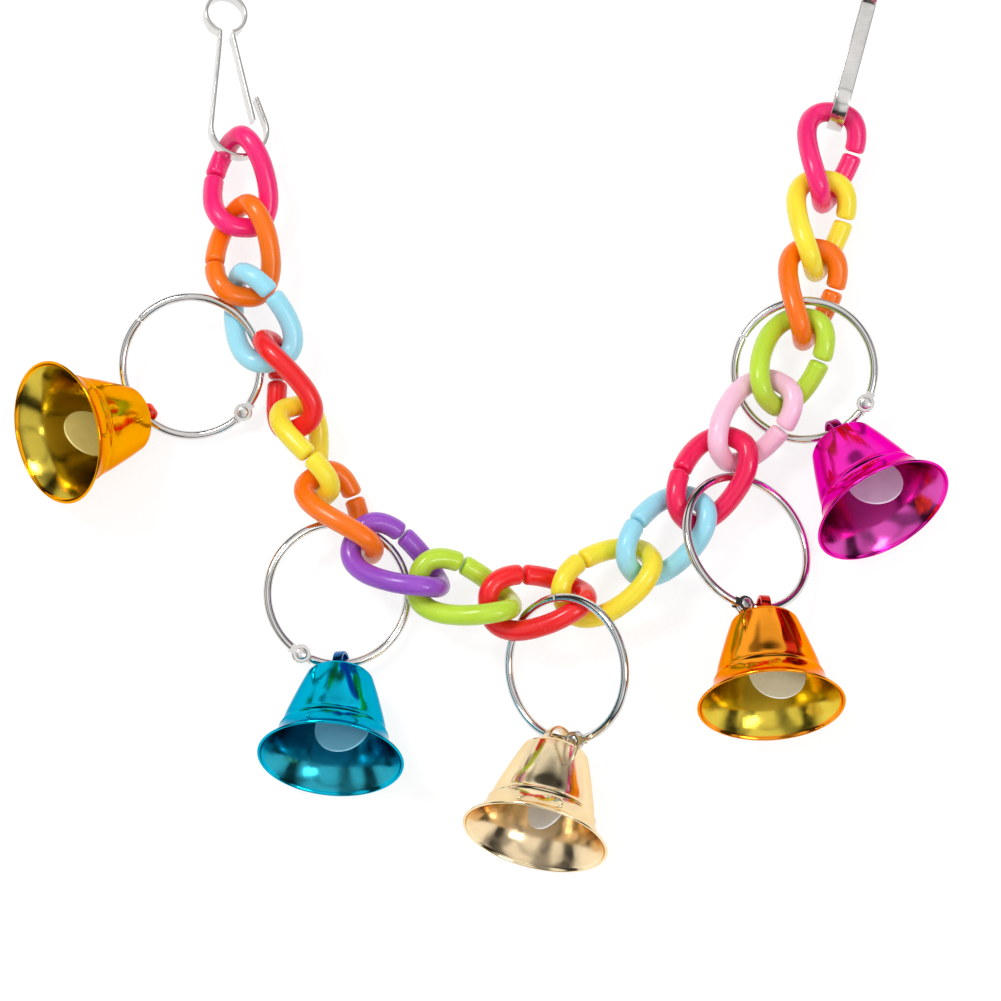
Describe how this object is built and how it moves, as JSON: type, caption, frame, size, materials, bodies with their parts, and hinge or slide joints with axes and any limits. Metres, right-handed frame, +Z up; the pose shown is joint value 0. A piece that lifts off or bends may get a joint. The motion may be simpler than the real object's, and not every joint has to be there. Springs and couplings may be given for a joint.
{
  "type": "chain toy",
  "caption": "Cage toy of twisted plastic chain links laid in an arc between snap hooks, with a bell on each of the hinged rings threaded through the chain.",
  "frame": {"origin": "bottom centre of the bounding box of the toy lying flat", "axes": "+Z up from the surface it lies on, +Y from the bells towards the snap hooks, +X from the left end of the chain to the right"},
  "size_m": [0.334, 0.3336, 0.0575],
  "materials": {
    "plastic_red": "glossy, solid colour",
    "plastic_yellow": "glossy, solid colour",
    "plastic_blue": "glossy, solid colour",
    "plastic_crimson": "glossy, solid colour",
    "plastic_rose": "glossy, solid colour",
    "plastic_green": "glossy, solid colour",
    "plastic_orange": "glossy, solid colour",
    "plastic_pink": "glossy, solid colour",
    "hook_nickel": "bright nickel plate",
    "ring_nickel": "bright nickel plate",
    "rivet_nickel": "bright nickel plate",
    "bell_magenta": "mirror plating, tinted lacquer",
    "hanger_magenta": "mirror plating, tinted lacquer",
    "clapper_magenta": "satin plated steel",
    "bell_amber": "mirror plating, tinted lacquer",
    "hanger_amber": "mirror plating, tinted lacquer",
    "clapper_amber": "satin plated steel",
    "plastic_purple": "glossy, solid colour",
    "bell_gold": "mirror plating, tinted lacquer",
    "hanger_gold": "mirror plating, tinted lacquer",
    "clapper_gold": "satin plated steel",
    "bell_cyan": "mirror plating, tinted lacquer",
    "hanger_cyan": "mirror plating, tinted lacquer",
    "clapper_cyan": "satin plated steel",
    "bell_champagne": "mirror plating, tinted lacquer",
    "hanger_champagne": "mirror plating, tinted lacquer",
    "clapper_champagne": "satin plated steel"
  },
  "bodies": {
    "link_01_pink": {"link_01_pink": "plastic_pink"},
    "link_02_orange": {"link_02_orange": "plastic_orange"},
    "link_03_blue": {"link_03_blue": "plastic_blue"},
    "link_04_red": {"link_04_red": "plastic_red"},
    "link_05_yellow": {"link_05_yellow": "plastic_yellow"},
    "link_06_orange": {"link_06_orange": "plastic_orange"},
    "link_07_purple": {"link_07_purple": "plastic_purple"},
    "link_08_green": {"link_08_green": "plastic_green"},
    "link_09_red": {"link_09_red": "plastic_red"},
    "link_10_yellow": {"link_10_yellow": "plastic_yellow"},
    "link_11_blue": {"link_11_blue": "plastic_blue"},
    "link_12_crimson": {"link_12_crimson": "plastic_crimson"},
    "link_13_rose": {"link_13_rose": "plastic_rose"},
    "link_14_green": {"link_14_green": "plastic_green"},
    "link_15_orange": {"link_15_orange": "plastic_orange"},
    "link_16_yellow": {"link_16_yellow": "plastic_yellow"},
    "link_17_pink": {"link_17_pink": "plastic_pink"},
    "ring_1": {"ring_1_fixed_half": "ring_nickel", "ring_1_rivet": "rivet_nickel"},
    "ring_1_half": {"ring_1_swing_half": "ring_nickel"},
    "bell_1": {"bell_1_shell": "bell_gold", "bell_1_hanger": "hanger_gold"},
    "bell_1_striker": {"bell_1_clapper": "clapper_gold"},
    "ring_2": {"ring_2_fixed_half": "ring_nickel", "ring_2_rivet": "rivet_nickel"},
    "ring_2_half": {"ring_2_swing_half": "ring_nickel"},
    "bell_2": {"bell_2_shell": "bell_cyan", "bell_2_hanger": "hanger_cyan"},
    "bell_2_striker": {"bell_2_clapper": "clapper_cyan"},
    "ring_3": {"ring_3_fixed_half": "ring_nickel", "ring_3_rivet": "rivet_nickel"},
    "ring_3_half": {"ring_3_swing_half": "ring_nickel"},
    "bell_3": {"bell_3_shell": "bell_champagne", "bell_3_hanger": "hanger_champagne"},
    "bell_3_striker": {"bell_3_clapper": "clapper_champagne"},
    "ring_4": {"ring_4_fixed_half": "ring_nickel", "ring_4_rivet": "rivet_nickel"},
    "ring_4_half": {"ring_4_swing_half": "ring_nickel"},
    "bell_4": {"bell_4_shell": "bell_amber", "bell_4_hanger": "hanger_amber"},
    "bell_4_striker": {"bell_4_clapper": "clapper_amber"},
    "ring_5": {"ring_5_fixed_half": "ring_nickel", "ring_5_rivet": "rivet_nickel"},
    "ring_5_half": {"ring_5_swing_half": "ring_nickel"},
    "bell_5": {"bell_5_shell": "bell_magenta", "bell_5_hanger": "hanger_magenta"},
    "bell_5_striker": {"bell_5_clapper": "clapper_magenta"},
    "left_hook_body": {"left_hook": "hook_nickel"},
    "left_hook_gate_leg": {"left_hook_gate": "hook_nickel"},
    "right_hook_body": {"right_hook": "hook_nickel"},
    "right_hook_gate_leg": {"right_hook_gate": "hook_nickel"}
  },
  "joints": [
    {"name": "link_10_yellow_bend", "type": "hinge", "parent": "link_09_red", "child": "link_10_yellow", "pos_m": [0.03452, -0.07101, 0.01586], "axis": [0, 0, -1], "range_deg": [-11, 14]},
    {"name": "link_11_blue_bend", "type": "hinge", "parent": "link_10_yellow", "child": "link_11_blue", "pos_m": [0.05747, -0.05776, 0.01586], "axis": [0, 0, 1], "range_deg": [-14, 13]},
    {"name": "link_12_crimson_bend", "type": "hinge", "parent": "link_11_blue", "child": "link_12_crimson", "pos_m": [0.07588, -0.0387, 0.01586], "axis": [0, 0, -1], "range_deg": [-9, 5.6]},
    {"name": "link_13_rose_bend", "type": "hinge", "parent": "link_12_crimson", "child": "link_13_rose", "pos_m": [0.09031, -0.01647, 0.01586], "axis": [0, 0, 1], "range_deg": [-4.3, 20]},
    {"name": "link_14_green_bend", "type": "hinge", "parent": "link_13_rose", "child": "link_14_green", "pos_m": [0.10699, 0.00412, 0.01586], "axis": [0, 0, -1], "range_deg": [-2.5, 9]},
    {"name": "link_15_orange_bend", "type": "hinge", "parent": "link_14_green", "child": "link_15_orange", "pos_m": [0.11819, 0.02814, 0.01586], "axis": [0, 0, 1], "range_deg": [-2.9, 3]},
    {"name": "link_16_yellow_bend", "type": "hinge", "parent": "link_15_orange", "child": "link_16_yellow", "pos_m": [0.12279, 0.05423, 0.01586], "axis": [0, 0, -1], "range_deg": [-15, 18]},
    {"name": "link_17_pink_bend", "type": "hinge", "parent": "link_16_yellow", "child": "link_17_pink", "pos_m": [0.12648, 0.08048, 0.01586], "axis": [0, 0, 1], "range_deg": [-18, 22]},
    {"name": "link_08_green_bend", "type": "hinge", "parent": "link_09_red", "child": "link_08_green", "pos_m": [0.00812, -0.07332, 0.01586], "axis": [0, 0, -1], "range_deg": [-14, 7]},
    {"name": "link_07_purple_bend", "type": "hinge", "parent": "link_08_green", "child": "link_07_purple", "pos_m": [-0.01708, -0.06513, 0.01586], "axis": [0, 0, 1], "range_deg": [-8, 15]},
    {"name": "link_06_orange_bend", "type": "hinge", "parent": "link_07_purple", "child": "link_06_orange", "pos_m": [-0.03956, -0.05109, 0.01586], "axis": [0, 0, -1], "range_deg": [-13, 8]},
    {"name": "link_05_yellow_bend", "type": "hinge", "parent": "link_06_orange", "child": "link_05_yellow", "pos_m": [-0.0555, -0.02993, 0.01586], "axis": [0, 0, 1], "range_deg": [-8, 25]},
    {"name": "link_04_red_bend", "type": "hinge", "parent": "link_05_yellow", "child": "link_04_red", "pos_m": [-0.065, -0.00519, 0.01586], "axis": [0, 0, -1], "range_deg": [-16, 10]},
    {"name": "link_03_blue_bend", "type": "hinge", "parent": "link_04_red", "child": "link_03_blue", "pos_m": [-0.0745, 0.01955, 0.01586], "axis": [0, 0, 1], "range_deg": [-6.3, 5.7]},
    {"name": "link_02_orange_bend", "type": "hinge", "parent": "link_03_blue", "child": "link_02_orange", "pos_m": [-0.08528, 0.04376, 0.01586], "axis": [0, 0, -1], "range_deg": [-4.5, 7]},
    {"name": "link_01_pink_bend", "type": "hinge", "parent": "link_02_orange", "child": "link_01_pink", "pos_m": [-0.0862, 0.07025, 0.01586], "axis": [0, 0, 1], "range_deg": [-15, 18]},
    {"name": "ring_1_swing", "type": "hinge", "parent": "link_03_blue", "child": "ring_1", "pos_m": [-0.0837, 0.02941, 0.01465], "axis": [0, 0, 1], "range_deg": [-0.8, 1.5]},
    {"name": "ring_1_open", "type": "hinge", "parent": "ring_1", "child": "ring_1_half", "pos_m": [-0.08531, -0.00097, 0.00641], "axis": [-0.0233, -0.2606, 0.9652], "range_deg": [0, 45]},
    {"name": "bell_1_swing", "type": "hinge", "parent": "ring_1_half", "child": "bell_1", "pos_m": [-0.12129, -0.00216, 0.00522], "axis": [-0.7248, 0.6693, 0.1632], "range_deg": [-30, 18]},
    {"name": "bell_1_strike", "type": "hinge", "parent": "bell_1", "child": "bell_1_striker", "pos_m": [-0.12941, -0.00578, 0.01268], "axis": [0.4817, 0.4587, 0.7467], "range_deg": [-35, 14]},
    {"name": "ring_2_swing", "type": "hinge", "parent": "link_06_orange", "child": "ring_2", "pos_m": [-0.04784, -0.04375, 0.01345], "axis": [0, 0, 1], "range_deg": [-3, 5]},
    {"name": "ring_2_open", "type": "hinge", "parent": "ring_2", "child": "ring_2_half", "pos_m": [-0.06241, -0.09029, 0.01143], "axis": [-0.18, 0.099, -0.9787], "range_deg": [0, 60]},
    {"name": "bell_2_swing", "type": "hinge", "parent": "ring_2_half", "child": "bell_2", "pos_m": [-0.04811, -0.09359, 0.00847], "axis": [-0.9818, -0.0794, 0.1726], "range_deg": [-30, 70]},
    {"name": "bell_2_strike", "type": "hinge", "parent": "bell_2", "child": "bell_2_striker", "pos_m": [-0.04885, -0.10416, 0.01318], "axis": [-0.2186, 0.4104, 0.8853], "range_deg": [-35, 14]},
    {"name": "ring_3_swing", "type": "hinge", "parent": "link_09_red", "child": "ring_3", "pos_m": [0.02117, -0.07389, 0.01756], "axis": [0, 0, 1], "range_deg": [-3, 12]},
    {"name": "ring_3_open", "type": "hinge", "parent": "ring_3", "child": "ring_3_half", "pos_m": [0.03426, -0.12144, 0.01573], "axis": [-0.6081, -0.197, 0.7691], "range_deg": [0, 5]},
    {"name": "bell_3_swing", "type": "hinge", "parent": "ring_3_half", "child": "bell_3", "pos_m": [0.02885, -0.12055, 0.01168], "axis": [-0.7887, 0.2609, -0.5567], "range_deg": [-30, 55]},
    {"name": "bell_3_strike", "type": "hinge", "parent": "bell_3", "child": "bell_3_striker", "pos_m": [0.02622, -0.13113, 0.01565], "axis": [-0.7044, 0.3965, 0.5887], "range_deg": [-35, 14]},
    {"name": "ring_4_swing", "type": "hinge", "parent": "link_12_crimson", "child": "ring_4", "pos_m": [0.08441, -0.02868, 0.01696], "axis": [0, 0, 1], "range_deg": [-1.1, 2.1]},
    {"name": "ring_4_open", "type": "hinge", "parent": "ring_4", "child": "ring_4_half", "pos_m": [0.09377, -0.07491, 0.02338], "axis": [-0.4587, -0.2127, -0.8627], "range_deg": [0, 40]},
    {"name": "bell_4_swing", "type": "hinge", "parent": "ring_4_half", "child": "bell_4", "pos_m": [0.10073, -0.07534, 0.01978], "axis": [-0.8682, -0.0992, 0.4861], "range_deg": [-30, 70]},
    {"name": "bell_4_strike", "type": "hinge", "parent": "bell_4", "child": "bell_4_striker", "pos_m": [0.10092, -0.08617, 0.02394], "axis": [0.0978, 0.3582, 0.9285], "range_deg": [-35, 14]},
    {"name": "ring_5_swing", "type": "hinge", "parent": "link_15_orange", "child": "ring_5", "pos_m": [0.11943, 0.03751, 0.01876], "axis": [0, 0, 1], "range_deg": [-2.2, 3]},
    {"name": "ring_5_open", "type": "hinge", "parent": "ring_5", "child": "ring_5_half", "pos_m": [0.1399, 0.00051, 0.01382], "axis": [-0.1275, -0.2002, 0.9714], "range_deg": [0, 35]},
    {"name": "bell_5_swing", "type": "hinge", "parent": "ring_5_half", "child": "bell_5", "pos_m": [0.12881, -0.00949, 0.0103], "axis": [-0.896, -0.3968, -0.1994], "range_deg": [-10.9, 50]},
    {"name": "bell_5_strike", "type": "hinge", "parent": "bell_5", "child": "bell_5_striker", "pos_m": [0.13308, -0.01909, 0.0152], "axis": [-0.0172, 0.4485, 0.8936], "range_deg": [-35, 14]},
    {"name": "left_hook_swing", "type": "hinge", "parent": "link_01_pink", "child": "left_hook_body", "pos_m": [-0.0894, 0.10068, 0.01586], "axis": [0, 0, -1], "range_deg": [-13.3, 30]},
    {"name": "left_hook_gate_bend", "type": "hinge", "parent": "left_hook_body", "child": "left_hook_gate_leg", "pos_m": [-0.0915, 0.14038, 0.0166], "axis": [-0.2915, -0.0224, -0.9563], "range_deg": [0, 18], "stiffness_Nm_per_rad": 0.02},
    {"name": "right_hook_swing", "type": "hinge", "parent": "link_17_pink", "child": "right_hook_body", "pos_m": [0.13179, 0.11061, 0.01586], "axis": [0, 0, 1], "range_deg": [-10, 8]},
    {"name": "right_hook_gate_bend", "type": "hinge", "parent": "right_hook_body", "child": "right_hook_gate_leg", "pos_m": [0.14441, 0.15063, 0.01636], "axis": [-0.9613, 0.2756, 0], "range_deg": [0, 18], "stiffness_Nm_per_rad": 0.02}
  ]
}
